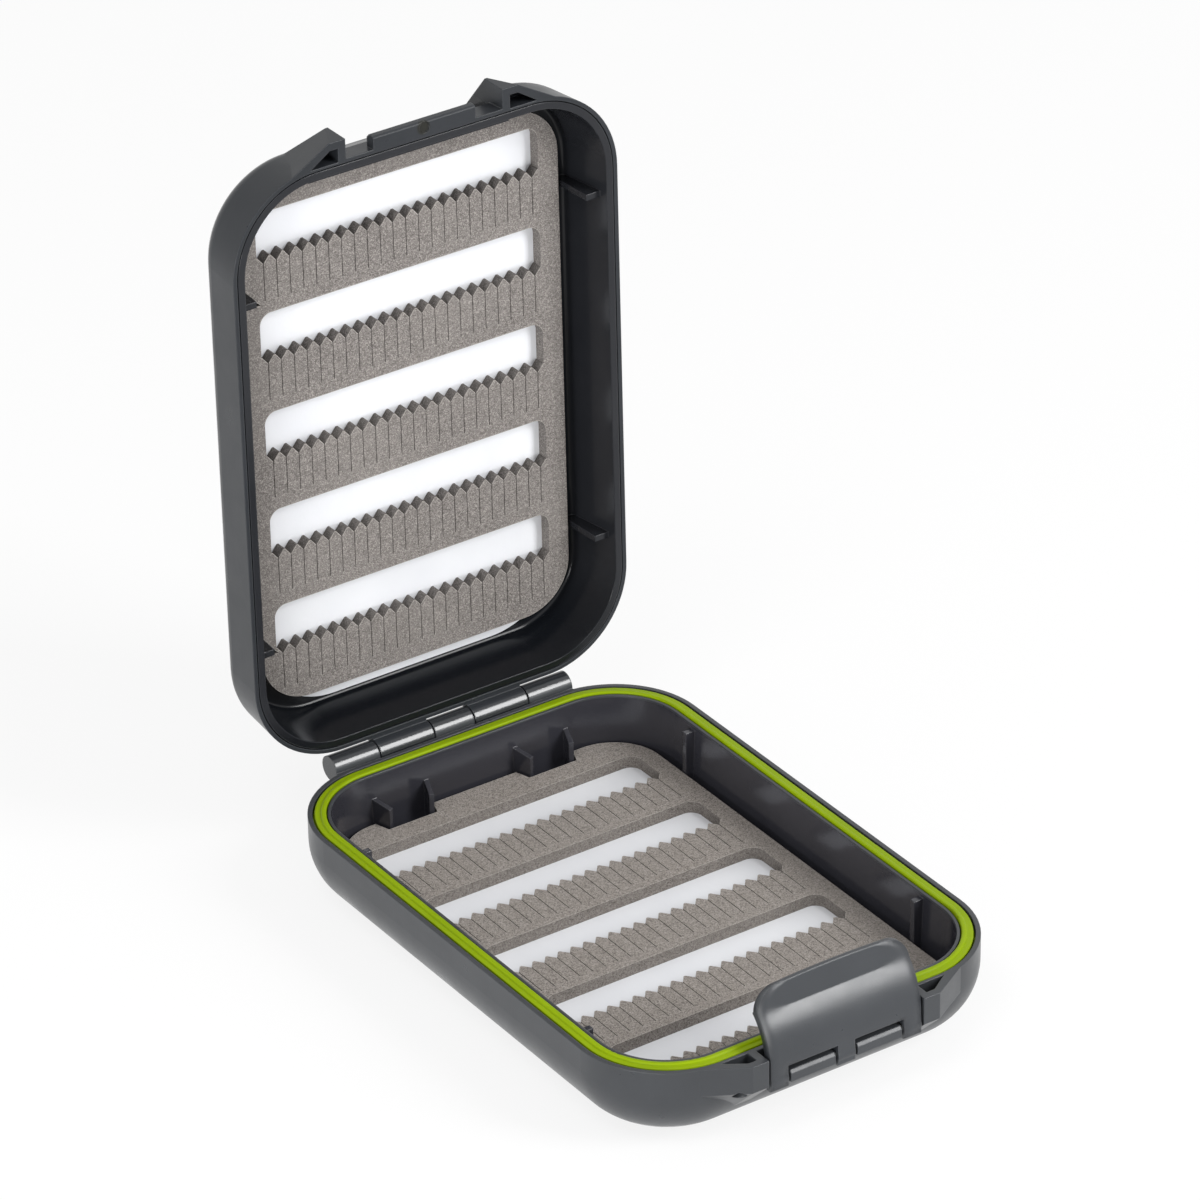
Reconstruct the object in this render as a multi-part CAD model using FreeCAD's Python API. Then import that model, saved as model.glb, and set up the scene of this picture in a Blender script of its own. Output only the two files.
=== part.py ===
import FreeCAD, Part
import math
import os

# Fly box: two hinged shells, a seal, a front latch and two slit-foam inserts.
# The origin is the middle of the base's underside, with Z up, X across and the hinge at +Y.
# Lengths are in millimetres and angles in degrees.

V = FreeCAD.Vector
X_AXIS = V(1, 0, 0)
Z_AXIS = V(0, 0, 1)

# The case as a whole
case_width = 100.0
case_length = 145.2
corner_radius = 22.1
base_height = 20.4
lid_height = 15.7
rim_gap = 0.1
lid_open_angle = 90.8
overrun = 1.0
level_tolerance = 0.0005

# Base shell
base_edge_radius = 14.5
base_floor = 2.0
base_rim_width = 5.2
base_wall_lean = 0.8
base_inner_radius = 5.0
groove_outer_inset = 1.1
groove_inner_wall = 0.7
groove_depth = 2.0

# Lid shell
lid_edge_radius = 5.4
lid_outer_lean = 1.3
lid_roof = 1.6
lid_rim_width = 2.9
lid_wall_lean = 2.1
lid_inner_radius = 1.0
channel_inset = 0.95
channel_width = 0.3
channel_depth = 0.6

# Seal
seal_outer_gap = 0.5
seal_inner_gap = 0.3
seal_foot_height = 0.6
seal_foot_gap = 0.1
seal_sink = 0.05
seal_lip_gap = 0.1
seal_lip_rise = 0.4
seal_lip_radius = 0.35

# Hinge
hinge_wall_gap = 0.45
hinge_drop = 0.36
knuckle_radius = 3.0
hinge_pin_radius = 1.0
running_fit = 0.05
press_clearance = 0.02
knuckle_middle_half = 5.4
knuckle_inner_half = 20.1
knuckle_outer_half = 32.0
knuckle_gap = 0.35
knuckle_end_wall = 2.0
knuckle_web_depth = 2.6

# Guards on both sides of the latch
guard_flat_width = 4.15
guard_foot_width = 13.9
guard_reach = 4.7
guard_root = 4.4
guard_base_drop = 6.6
guard_base_taper = 7.8
guard_base_taper_reach = 7.8
guard_base_corner_shift = 3.5
guard_lid_root = 5.6
guard_lid_lean = 0.5
guard_lid_rise = 7.0
guard_lid_slope_rise = 8.6
guard_lid_slope_reach = 10.0
pocket_side_wall = 1.9
pocket_flat_end_width = 4.0
pocket_outer_width = 9.0
pocket_wall = 1.8
pocket_web = 0.4
pocket_base_depth = 5.8
web_root = 1.5
pocket_lid_depth = 4.4

# Lanyard hole, which leads into the left pocket of the base
lanyard_radius = 1.5
lanyard_side = 6.1
lanyard_reach = 2.3
lanyard_drop = 7.3
lanyard_tilt = 38.0
lanyard_length = 7.0

# Catch bar and the latch well above it, on the lid
catch_half = 13.2
catch_reach = 3.0
catch_height = 2.7
catch_chamfer = 0.4
catch_slope = 0.9
gate_mark_radius = 1.3
gate_mark_depth = 0.3
well_start = 5.2
well_start_inset = 0.45
well_bend = 8.5
well_bend_inset = 3.3
well_top_inset = 5.6
well_upper_side = 4.1
well_pad_side = 5.7
well_pad_inset = 7.0
well_pad_start = 6.6

# Latch, its pin and the knuckles that carry it
latch_half = 19.6
latch_side_gap = 0.7
latch_wall_gap = 0.4
latch_pin_drop = 6.4
latch_pin_radius = 0.8
latch_barrel_radius = 2.2
latch_knuckle_radius = 1.8
latch_middle_leg_half = 2.2
latch_leg_start = 15.2
latch_leg_gap = 0.7
latch_window_rise = 3.1
latch_leg_foot_drop = 1.8
latch_leg_foot_corner = 0.5
latch_top = 14.2
latch_arch = 0.4
latch_tip_thickness = 0.8
latch_corner_radius = 5.3
latch_front_reach = 4.5
latch_arc_foot_drop = 3.0
latch_arc_radius = 17.6
latch_crease_height = 8.6
latch_lip_lean = 14.0
latch_thickness = 2.2
latch_pocket_side_gap = 0.4
latch_pocket_gap = 0.15
latch_heel_back = 0.2
latch_pocket_low = 0.3
latch_pocket_top_gap = 0.25

# Fronts of the two barrels that carry the latch pin
barrel_front_reach = 2.0
barrel_face_low = 1.2
barrel_face_high = 0.8
barrel_top_reach = 1.4
barrel_top_rise = 1.5

# Foam inserts and the white sheets under them
foam_rib_gap = 0.2
foam_thickness = 2.9
foam_corner_radius = 12.5
sheet_thickness = 0.5
slot_count = 5
slot_end_margin = 4.5
slot_opening = 10.5
slot_corner_radius = 3.0
teeth_per_slot = 22
tooth_depth = 1.67
slit_width = 0.18
floor_rib_height = 3.2
base_foam_shift = 0.8
base_foam_back_gap = 0.75
base_foam_front_gap = 2.0
base_slot_back_margin = 9.18
base_slot_front_margin = 4.3
base_slit_band = 2.53
lid_foam_front_margin = 7.7
lid_foam_back_margin = 9.7
lid_slot_front_margin = 5.08
lid_slot_back_margin = 3.91
lid_slit_band = 2.99
lid_slot_shift = 0.8
lid_sheet_overhang = 3.6
lid_sheet_corner_radius = 20.0
tooth_flat = 0.45
lid_notch_depth = 4.2
lid_notch_height = 4.8
lid_notch_front_margin = 27.1
lid_notch_back_margin = 13.5

# Ribs moulded inside the shells
side_rib_end_margin = 29.3
side_rib_thickness = 1.5
base_side_rib_width = 2.5
base_side_rib_drop = 1.2
lid_side_rib_tip_reach = 6.9
lid_side_rib_foot_reach = 7.6
lid_side_rib_drop = 2.3
clip_pair_x = 19.0
clip_wall_half = 7.4
clip_tip_half = 5.4
clip_thickness = 1.2
clip_length = 4.8
clip_wall_drop = 5.7
clip_tip_drop = 7.4
clip_notch_gap = 0.5
floor_rib_x = 25.0
floor_rib_end_margin = 22.6
floor_rib_thickness = 1.5

# Places worked out from the sizes above
half_width = case_width / 2
half_length = case_length / 2
rim_z = base_height
lid_rim_z = base_height + rim_gap
side_rib_y = half_length - side_rib_end_margin
hinge_y = half_length + knuckle_radius + hinge_wall_gap
hinge_z = base_height - hinge_drop
latch_pin_y = -(half_length + latch_barrel_radius + latch_wall_gap)
latch_pin_z = base_height - latch_pin_drop
floor_rib_half = half_length - floor_rib_end_margin
latch_pocket_half = catch_half + latch_pocket_side_gap
guard_inner = latch_half + latch_side_gap
guard_flat_end = guard_inner + guard_flat_width
guard_foot = guard_inner + guard_foot_width
pocket_inner = guard_inner + pocket_side_wall
pocket_flat_end = guard_inner + pocket_flat_end_width
pocket_outer = guard_inner + pocket_outer_width
lanyard_x = -(guard_inner + lanyard_side)
well_upper_half = guard_inner + well_upper_side
well_pad_half = guard_inner + well_pad_side
groove_inner_inset = base_rim_width - groove_inner_wall
seal_outer_inset = groove_outer_inset + seal_outer_gap
seal_inner_inset = groove_inner_inset - seal_inner_gap
seal_lip_outer_inset = lid_rim_width + seal_lip_gap
base_floor_inset = base_rim_width + base_wall_lean
base_side_rib_reach = base_rim_width + base_side_rib_width
clip_reach = base_rim_width + clip_length
foam_side_margin = base_side_rib_reach + base_foam_shift + foam_rib_gap
foam_width = case_width - 2 * foam_side_margin
slot_width = foam_width - 2 * slot_end_margin
base_foam_bottom = base_floor + floor_rib_height + sheet_thickness
base_foam_back = half_length - base_floor_inset - base_foam_back_gap
base_foam_front = half_length - base_floor_inset - base_foam_front_gap
lid_foam_back = half_length - lid_foam_back_margin
lid_foam_front = half_length - lid_foam_front_margin
lid_notch_front = lid_foam_front - lid_notch_front_margin
lid_notch_back = lid_foam_back - lid_notch_back_margin
base_slot_room = base_foam_front + base_foam_back - base_slot_front_margin - base_slot_back_margin
base_slot_pitch = (base_slot_room + base_slit_band) / slot_count
base_slot_line = base_foam_back - base_slot_back_margin - base_slot_pitch * (slot_count - 1) / 2
lid_slot_room = lid_foam_front + lid_foam_back - lid_slot_front_margin - lid_slot_back_margin
lid_slot_pitch = (lid_slot_room + lid_slit_band) / slot_count
lid_slot_line = lid_foam_front - lid_slot_front_margin - lid_slot_pitch * (slot_count - 1) / 2
lid_ceiling = lid_rim_z + lid_height - lid_roof
lid_foam_low = lid_ceiling - sheet_thickness - foam_thickness


def rounded_wire(inset, z):
    """The case's outline, brought in by an inset, at a height."""
    half_x = half_width - inset
    half_y = half_length - inset
    return rounded_rectangle(half_x, half_y, corner_radius - inset, z, V(0, 0, 0))


def rounded_rectangle(half_x, half_y, radius, z, centre):
    """A rectangle with round corners, as a closed wire at a height."""
    edges = []
    corner_x = half_x - radius
    corner_y = half_y - radius
    corners = [(1, -1, -90), (1, 1, 0), (-1, 1, 90), (-1, -1, 180)]
    ends = []
    for sign_x, sign_y, start in corners:
        middle = V(centre.x + sign_x * corner_x, centre.y + sign_y * corner_y, z)
        circle = Part.Circle(middle, Z_AXIS, radius)
        arc = Part.Arc(circle, math.radians(start), math.radians(start + 90))
        ends.append((arc.StartPoint, arc.EndPoint))
        edges.append(arc.toShape())
    outline = []
    for index in range(len(edges)):
        outline.append(edges[index])
        following = ends[(index + 1) % len(edges)][0]
        outline.append(Part.LineSegment(ends[index][1], following).toShape())
    return Part.Wire(outline)


def prism(wire, height):
    """A straight solid over a wire, up by a height or down if it is negative."""
    return Part.Face(wire).extrude(V(0, 0, height))


def ring(outer_inset, inner_inset, z, height):
    """A band that follows the case's outline between two insets."""
    return prism(rounded_wire(outer_inset, z), height).cut(prism(rounded_wire(inner_inset, z), height))


def box(x0, x1, y0, y1, z0, z1):
    """A block between two corners."""
    return Part.makeBox(x1 - x0, y1 - y0, z1 - z0, V(x0, y0, z0))


def polygon_prism(points, direction):
    """A straight solid over a closed run of points."""
    return Part.Face(Part.makePolygon(points + [points[0]])).extrude(direction)


def edges_at_height(shape, z):
    """The edges that lie wholly at one height."""
    found = []
    for edge in shape.Edges:
        bounds = edge.BoundBox
        if abs(bounds.ZMin - z) < level_tolerance and abs(bounds.ZMax - z) < level_tolerance:
            found.append(edge)
    return found


def mirrored(shape):
    """The same shape on the other side of the case's middle plane."""
    return shape.mirror(V(0, 0, 0), X_AXIS)


def tub(rim_inset, rim_height, floor_inset, floor_height, radius):
    """A hollow or block whose sides lean, with its floor edge rounded."""
    wires = [rounded_wire(rim_inset, rim_height), rounded_wire(floor_inset, floor_height)]
    if floor_height < rim_height:
        wires.reverse()
    body = Part.makeLoft(wires, True, True)
    return body.makeFillet(radius, edges_at_height(body, floor_height))


def knuckle(start, end, centre_y, centre_z, radius):
    """A round barrel along X."""
    return Part.makeCylinder(radius, end - start, V(start, centre_y, centre_z), X_AXIS)


def knuckle_spans():
    """The five hinge barrels from left to right, as base or lid, start and end."""
    gap = knuckle_gap / 2
    return [
        ("base", -knuckle_outer_half, -knuckle_inner_half - gap),
        ("lid", -knuckle_inner_half + gap, -knuckle_middle_half - gap),
        ("base", -knuckle_middle_half + gap, knuckle_middle_half - gap),
        ("lid", knuckle_middle_half + gap, knuckle_inner_half - gap),
        ("base", knuckle_inner_half + gap, knuckle_outer_half),
    ]


def hinge_barrels(owner, web_low, web_high):
    """The barrels of one shell, each with the web that joins it to the wall."""
    barrels = []
    for name, start, end in knuckle_spans():
        if name != owner:
            continue
        barrels.append(knuckle(start, end, hinge_y, hinge_z, knuckle_radius))
        root_y = half_length - web_root
        barrels.append(box(start, end, root_y, hinge_y, web_low, web_high))
    return barrels


def hinge_bore(start, end, clearance):
    """The pin's hole between two places along X."""
    return knuckle(start, end, hinge_y, hinge_z, hinge_pin_radius + clearance)


def guard_side_x(y):
    """Where the slanting side of a guard lies along X, at a place along Y."""
    front = front_y(guard_reach)
    slant = (guard_foot - guard_flat_end) / (outline_y(guard_foot) - front)
    return guard_flat_end + slant * (y - front)


def guard_outline(z):
    """One latch guard seen from above, on the right, as points at a height."""
    front = front_y(guard_reach)
    root = front_y(-guard_root)
    return [V(guard_inner, root, z), V(guard_inner, front, z), V(guard_flat_end, front, z),
            V(guard_side_x(root), root, z)]


def outline_y(x):
    """The case's front outline at a place along X."""
    centre_x = half_width - corner_radius
    centre_y = half_length - corner_radius
    along = max(x - centre_x, 0)
    return -(centre_y + math.sqrt(corner_radius ** 2 - along ** 2))


def pocket(z, depth):
    """The hollow in one guard, on the right."""
    back = -(half_length - pocket_web)
    front = -(half_length + guard_reach - pocket_wall)
    points = [V(pocket_inner, back, z), V(pocket_outer, back, z),
              V(pocket_flat_end, front, z), V(pocket_inner, front, z)]
    return polygon_prism(points, V(0, 0, depth))


def base_guard():
    """One guard of the base: upright, then tapering in below."""
    low = rim_z - guard_base_drop
    upright = polygon_prism(guard_outline(rim_z), V(0, 0, -guard_base_drop))
    top = guard_outline(low)
    bottom = []
    for point in top:
        shift_y = guard_base_taper_reach if point.y < -half_length else guard_base_corner_shift
        shift_x = guard_base_taper_reach if point.x > guard_flat_end else 0
        bottom.append(V(point.x - shift_x, point.y + shift_y, low - guard_base_taper))
    wires = [Part.makePolygon(bottom + [bottom[0]]), Part.makePolygon(top + [top[0]])]
    taper = Part.makeLoft(wires, True, True)
    return upright.fuse(taper)


def lid_guard():
    """One guard of the lid, whose side leans in towards its top and whose top slopes back."""
    height = guard_lid_rise + guard_lid_slope_rise
    front = front_y(guard_reach)
    root = front_y(-guard_lid_root)
    block = box(guard_inner, half_width, front, root, lid_rim_z, lid_rim_z + height)
    beside = []
    for y in (front - overrun, root + overrun):
        beside.append(V(guard_side_x(y), y, lid_rim_z))
    beside.append(V(case_width, root + overrun, lid_rim_z))
    beside.append(V(case_width, front - overrun, lid_rim_z))
    side = polygon_prism(beside, V(-guard_lid_lean * height, 0, height))
    x = guard_inner - overrun
    low = lid_rim_z + guard_lid_rise
    tip_y = front + guard_lid_slope_reach
    top = lid_rim_z + height + overrun
    slope = [V(x, front - overrun, low), V(x, front, low), V(x, tip_y, low + guard_lid_slope_rise),
             V(x, tip_y, top), V(x, front - overrun, top)]
    return block.cut(side).cut(polygon_prism(slope, V(case_width, 0, 0)))


def latch_knuckles():
    """The two barrels on the base that carry the latch pin, with flat fronts and a sloping top."""
    start = latch_middle_leg_half + latch_leg_gap
    end = latch_leg_start - latch_leg_gap
    root = -(half_length - web_root)
    front = latch_pin_y - barrel_front_reach
    low = latch_pin_z - latch_knuckle_radius
    points = [V(start, latch_pin_y, low), V(start, front, latch_pin_z - barrel_face_low),
              V(start, front, latch_pin_z + barrel_face_high),
              V(start, latch_pin_y - barrel_top_reach, latch_pin_z + barrel_top_rise),
              V(start, root, latch_pin_z + barrel_top_rise), V(start, root, low)]
    right = polygon_prism(points, V(end - start, 0, 0))
    return [right, mirrored(right)]


def clip_points(pair_x, side, thickness, wall_y, tip_y):
    """One slanted clip fin seen from above, as the corners of its foot."""
    wall_x = pair_x + side * clip_wall_half
    tip_x = pair_x + side * clip_tip_half
    along = V(tip_x - wall_x, tip_y - wall_y, 0)
    across = V(-along.y, along.x, 0).normalize() * (thickness / 2)
    wall = V(wall_x, wall_y, 0)
    tip = V(tip_x, tip_y, 0)
    return [wall - across, tip - across, tip + across, wall + across]


def clip_fins():
    """Two pairs of slanted fins on the back wall, with sloping tops."""
    wall_y = half_length - base_rim_width + overrun
    tip_y = half_length - clip_reach
    fins = []
    for pair_x in (-clip_pair_x, clip_pair_x):
        for side in (-1, 1):
            foot = clip_points(pair_x, side, clip_thickness, wall_y, tip_y)
            foot = [V(point.x, point.y, base_floor - overrun) for point in foot]
            height = rim_z - clip_wall_drop - foot[0].z
            fins.append(polygon_prism(foot, V(0, 0, height)))
    slope = [V(-half_width, wall_y, rim_z - clip_wall_drop),
             V(-half_width, tip_y - clip_thickness, rim_z - clip_tip_drop),
             V(-half_width, tip_y - clip_thickness, rim_z),
             V(-half_width, wall_y, rim_z)]
    above = polygon_prism(slope, V(case_width, 0, 0))
    return [fin.cut(above) for fin in fins]


def base_side_ribs():
    """Four upright ribs on the side walls of the base."""
    ribs = []
    reach = half_width - base_side_rib_reach
    wall = half_width - base_rim_width + overrun
    for y in (-side_rib_y, side_rib_y):
        low_y = y - side_rib_thickness / 2
        high_y = y + side_rib_thickness / 2
        rib = box(reach, wall, low_y, high_y, base_floor - overrun, rim_z - base_side_rib_drop)
        ribs.append(rib)
        ribs.append(mirrored(rib))
    return ribs


def floor_ribs():
    """Three low ribs on which the base's insert rests."""
    ribs = []
    top = base_foam_bottom - sheet_thickness
    for x in (-floor_rib_x, 0, floor_rib_x):
        low_x = x - floor_rib_thickness / 2
        ribs.append(box(low_x, low_x + floor_rib_thickness, -floor_rib_half, floor_rib_half,
                        base_floor - overrun, top))
    return ribs


def lanyard_bore():
    """The slanted hole from the lower front into the left pocket."""
    direction = V(0, math.cos(math.radians(lanyard_tilt)), math.sin(math.radians(lanyard_tilt)))
    middle = V(lanyard_x, -(half_length + lanyard_reach), rim_z - lanyard_drop)
    start = middle - direction * (lanyard_length / 2)
    return Part.makeCylinder(lanyard_radius, lanyard_length / 2 + lanyard_reach, start, direction)


def make_base_shell():
    """The deep half of the case, with every feature moulded on it."""
    outer = prism(rounded_wire(0, 0), rim_z)
    outer = outer.makeFillet(base_edge_radius, edges_at_height(outer, 0))
    guard = base_guard()
    web_low = hinge_z - knuckle_web_depth
    added = [guard, mirrored(guard)] + latch_knuckles() + hinge_barrels("base", web_low, hinge_z)
    shell = outer.multiFuse(added)
    cavity = tub(base_rim_width, rim_z, base_floor_inset, base_floor, base_inner_radius)
    mouth = prism(rounded_wire(base_rim_width, rim_z), overrun)
    shell = shell.cut(cavity.fuse(mouth))
    fins = [fin.common(outer) for fin in clip_fins() + base_side_ribs() + floor_ribs()]
    shell = shell.multiFuse(fins)
    cuts = [ring(groove_outer_inset, groove_inner_inset, rim_z - groove_depth, groove_depth + overrun)]
    right_pocket = pocket(rim_z + overrun, -(pocket_base_depth + overrun))
    cuts.append(right_pocket)
    cuts.append(mirrored(right_pocket))
    cuts.append(lanyard_bore())
    bore_start = -knuckle_outer_half + knuckle_end_wall
    cuts.append(hinge_bore(bore_start, knuckle_outer_half + overrun, press_clearance))
    pin_end = latch_leg_start
    pin_bore_radius = latch_pin_radius + press_clearance
    cuts.append(knuckle(-pin_end, pin_end, latch_pin_y, latch_pin_z, pin_bore_radius))
    for cut in cuts:
        shell = shell.cut(cut)
    return shell.removeSplitter()


def latch_well():
    """The sloping hollow in the lid's front, where the latch lies when it is shut."""
    low = lid_rim_z + well_start
    bend = lid_rim_z + well_bend
    high = lid_rim_z + lid_height
    front = -(half_length + guard_reach + overrun)
    start_y = -(half_length - well_start_inset)
    bend_y = -(half_length - well_bend_inset)
    high_y = -(half_length - well_top_inset)
    x = -guard_inner
    points = [V(x, front, low), V(x, start_y, low), V(x, bend_y, bend), V(x, high_y, high),
              V(x, high_y, high + overrun), V(x, front, high + overrun)]
    middle = polygon_prism(points, V(2 * guard_inner, 0, 0))
    x = -well_upper_half
    points = [V(x, front, bend), V(x, bend_y, bend), V(x, high_y, high),
              V(x, high_y, high + overrun), V(x, front, high + overrun)]
    return middle.fuse(polygon_prism(points, V(2 * well_upper_half, 0, 0)))


def catch_bar():
    """The bar under which the latch hooks, with its two front edges cut off."""
    x = -catch_half
    front = front_y(catch_reach)
    root = -(half_length - web_root)
    top = lid_rim_z + catch_height
    points = [V(x, root, lid_rim_z), V(x, front + catch_chamfer, lid_rim_z),
              V(x, front, lid_rim_z + catch_chamfer), V(x, front, top - catch_slope),
              V(x, front + catch_slope, top), V(x, root, top)]
    bar = polygon_prism(points, V(2 * catch_half, 0, 0))
    mark = Part.makeCylinder(gate_mark_radius, gate_mark_depth, V(0, front_y(catch_reach / 2), lid_rim_z))
    return bar.cut(mark)


def lid_side_ribs():
    """Four fins on the side walls of the lid, wider towards its roof."""
    ribs = []
    wall = half_width - lid_rim_width
    low = lid_rim_z + lid_side_rib_drop
    top = lid_ceiling + overrun
    for y in (-side_rib_y, side_rib_y):
        low_y = y - side_rib_thickness / 2
        points = [V(wall, low_y, low), V(half_width - lid_side_rib_tip_reach, low_y, low),
                  V(half_width - lid_side_rib_foot_reach, low_y, top), V(wall, low_y, top)]
        rib = polygon_prism(points, V(0, side_rib_thickness, 0))
        ribs.append(rib)
        ribs.append(mirrored(rib))
    return ribs


def make_lid_shell():
    """The shallow half of the case, modelled shut."""
    lid_top = lid_rim_z + lid_height
    outer = tub(0, lid_rim_z, lid_outer_lean, lid_top, lid_edge_radius)
    guard = lid_guard()
    web_high = hinge_z + knuckle_web_depth
    body = outer.cut(latch_well())
    body = body.multiFuse([guard, mirrored(guard), catch_bar()])
    webs = []
    for name, start, end in knuckle_spans():
        if name == "lid":
            webs.append(box(start, end, half_length - web_root, hinge_y, lid_rim_z, web_high))
            webs.append(knuckle(start, end, hinge_y, hinge_z, knuckle_radius))
    body = body.multiFuse(webs)
    floor_inset = lid_rim_width + lid_wall_lean
    cavity = tub(lid_rim_width, lid_rim_z, floor_inset, lid_ceiling, lid_inner_radius)
    mouth = prism(rounded_wire(lid_rim_width, lid_rim_z - overrun), overrun)
    pad = box(-well_pad_half, well_pad_half, -half_length, -(half_length - well_pad_inset),
              lid_rim_z + well_pad_start, lid_top)
    body = body.cut(cavity.cut(pad).fuse(mouth))
    ribs = [rib.common(outer) for rib in lid_side_ribs()]
    body = body.multiFuse(ribs)
    channel_end = channel_inset + channel_width
    body = body.cut(ring(channel_inset, channel_end, lid_rim_z - overrun, channel_depth + overrun))
    right_pocket = pocket(lid_rim_z - overrun, pocket_lid_depth + overrun)
    body = body.cut(right_pocket)
    body = body.cut(mirrored(right_pocket))
    body = body.cut(hinge_bore(-knuckle_outer_half, knuckle_outer_half, running_fit))
    return body.removeSplitter()


def make_seal():
    """The seal: a wide foot for the groove, a flat band and a round lip inside it."""
    low = rim_z - groove_depth
    band = ring(seal_outer_inset, seal_inner_inset, low, groove_depth - seal_sink)
    lip_top = rim_z + seal_lip_rise
    lip = ring(seal_lip_outer_inset, seal_inner_inset, low, lip_top - low)
    lip = lip.makeFillet(seal_lip_radius, edges_at_height(lip, lip_top))
    foot_outer = groove_outer_inset + seal_foot_gap
    foot_inner = groove_inner_inset - seal_foot_gap
    foot = ring(foot_outer, foot_inner, low, seal_foot_height)
    return band.multiFuse([lip, foot]).removeSplitter()


def front_y(reach):
    """A place in front of the case's front face."""
    return -(half_length + reach)


def latch_section(offset):
    """Points down the latch's front in the YZ plane, moved inwards by an offset."""
    x = -latch_half
    radius = latch_arc_radius - offset
    centre_y = front_y(latch_front_reach) + latch_arc_radius
    centre_z = rim_z - latch_arc_foot_drop
    lean = math.radians(latch_lip_lean)
    crease_rise = latch_crease_height + latch_arc_foot_drop
    crease_y = centre_y - math.sqrt(latch_arc_radius ** 2 - crease_rise ** 2)
    lip_y = crease_y + offset * math.cos(lean)
    lip_z = rim_z + latch_crease_height - offset * math.sin(lean)
    turn = math.asin((lip_z - centre_z) / radius) if offset > 0 else math.asin(crease_rise / radius)
    foot = V(x, centre_y - radius, centre_z)
    middle = V(x, centre_y - radius * math.cos(turn / 2), centre_z + radius * math.sin(turn / 2))
    crease = V(x, centre_y - radius * math.cos(turn), centre_z + radius * math.sin(turn))
    length = latch_top - latch_crease_height + overrun
    lip = V(x, lip_y + length * math.sin(lean), lip_z + length * math.cos(lean))
    return foot, middle, crease, V(x, lip_y, lip_z), lip


def latch_profile():
    """The latch's section in the YZ plane, without its barrel."""
    x = -latch_half
    foot, middle, crease, bend, lip = latch_section(0)
    inner_foot, inner_middle, inner_crease, inner_bend, _ = latch_section(latch_thickness)
    inner_lip = V(x, lip.y + latch_tip_thickness, lip.z)
    leg_front = foot.y - latch_pocket_gap
    toe = V(x, leg_front, latch_pin_z - latch_leg_foot_drop)
    heel_z = latch_pin_z - latch_barrel_radius
    heel = V(x, leg_front + latch_leg_foot_corner, heel_z)
    back_low = V(x, latch_pin_y, heel_z)
    back_high = V(x, latch_pin_y + latch_heel_back, latch_pin_z)
    edges = [
        Part.LineSegment(toe, foot).toShape(),
        Part.Arc(foot, middle, crease).toShape(),
        Part.LineSegment(crease, lip).toShape(),
        Part.LineSegment(lip, inner_lip).toShape(),
        Part.LineSegment(inner_lip, inner_bend).toShape(),
        Part.LineSegment(inner_bend, inner_crease).toShape(),
        Part.Arc(inner_crease, inner_middle, inner_foot).toShape(),
        Part.LineSegment(inner_foot, back_high).toShape(),
        Part.LineSegment(back_high, back_low).toShape(),
        Part.LineSegment(back_low, heel).toShape(),
        Part.LineSegment(heel, toe).toShape(),
    ]
    return Part.Face(Part.Wire(edges))


def latch_pocket():
    """The hollow inside the latch that takes the catch bar, so that its top edge hooks over it."""
    x = -latch_pocket_half
    front = front_y(catch_reach + latch_pocket_gap)
    low = rim_z - latch_pocket_low
    top = lid_rim_z + catch_height + latch_pocket_top_gap
    slope_low = lid_rim_z + catch_height - catch_slope
    points = [V(x, front_y(0), low), V(x, front, low), V(x, front, slope_low),
              V(x, front + top - slope_low, top), V(x, front_y(0), top)]
    return polygon_prism(points, V(2 * latch_pocket_half, 0, 0))


def latch_front_outline():
    """The latch seen from the front: straight sides, round corners and an arched top."""
    y = front_y(guard_reach + overrun)
    low = latch_pin_z - latch_barrel_radius - overrun
    top = rim_z + latch_top
    side_top = top - latch_arch - latch_corner_radius
    turn = latch_corner_radius * (1 - math.cos(math.radians(45)))
    arch_x = latch_half - latch_corner_radius
    left = [V(-latch_half, y, side_top), V(-latch_half + turn, y, top - latch_arch - turn),
            V(-arch_x, y, top - latch_arch)]
    right = [V(-point.x, y, point.z) for point in left]
    edges = [
        Part.LineSegment(V(-latch_half, y, low), left[0]).toShape(),
        Part.Arc(left[0], left[1], left[2]).toShape(),
        Part.Arc(left[2], V(0, y, top), right[2]).toShape(),
        Part.Arc(right[2], right[1], right[0]).toShape(),
        Part.LineSegment(right[0], V(latch_half, y, low)).toShape(),
        Part.LineSegment(V(latch_half, y, low), V(-latch_half, y, low)).toShape(),
    ]
    return Part.Face(Part.Wire(edges)).extrude(V(0, latch_arc_radius, 0))


def make_latch():
    """The snap latch, as it lies when it is locked."""
    plate = latch_profile().extrude(V(2 * latch_half, 0, 0))
    plate = plate.common(latch_front_outline())
    barrel = knuckle(-latch_half, latch_half, latch_pin_y, latch_pin_z, latch_barrel_radius)
    body = plate.fuse(barrel).cut(latch_pocket())
    window_top = latch_pin_z + latch_window_rise
    window = box(latch_middle_leg_half, latch_leg_start, front_y(guard_reach + overrun),
                 front_y(0), latch_pin_z - latch_barrel_radius - overrun, window_top)
    body = body.cut(window).cut(mirrored(window))
    bore = knuckle(-latch_half, latch_half, latch_pin_y, latch_pin_z, latch_pin_radius + running_fit)
    return body.cut(bore).removeSplitter()


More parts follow.
